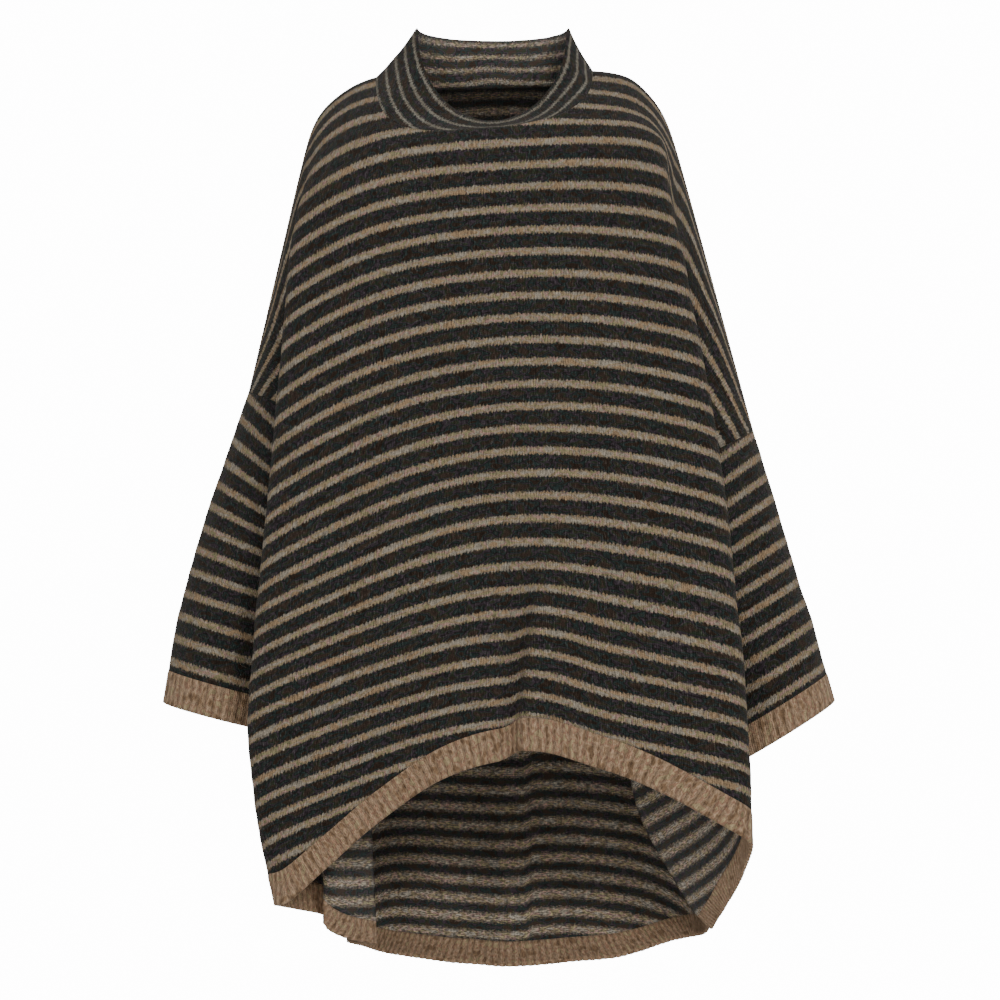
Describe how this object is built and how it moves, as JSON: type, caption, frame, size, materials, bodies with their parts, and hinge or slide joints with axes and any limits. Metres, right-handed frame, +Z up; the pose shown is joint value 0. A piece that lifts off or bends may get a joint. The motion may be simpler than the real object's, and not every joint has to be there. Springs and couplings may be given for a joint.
{
  "type": "knitted poncho sweater",
  "caption": "Hollow, worn-form oversized knit pullover with a funnel collar, dropped wide sleeves, ribbed cuffs and a high-low ribbed hem; pulled on over the head.",
  "frame": {"origin": "middle of the neck opening at the height of the shoulder seams, where the wearer holds the garment up", "axes": "+Z up along the body, -Y toward the front, +X toward the wearer's left"},
  "size_m": [0.6721, 0.2734, 0.9445],
  "materials": {
    "stripe_knit": "brushed charcoal knit with narrow camel stripes",
    "camel_rib": "brushed camel rib knit"
  },
  "bodies": {
    "root": {"front": "stripe_knit", "back": "stripe_knit", "sleeve_left": "stripe_knit", "sleeve_right": "stripe_knit", "collar": "stripe_knit", "hem_band_front": "camel_rib", "hem_band_back": "camel_rib", "cuff_left": "camel_rib", "cuff_right": "camel_rib"}
  },
  "joints": []
}
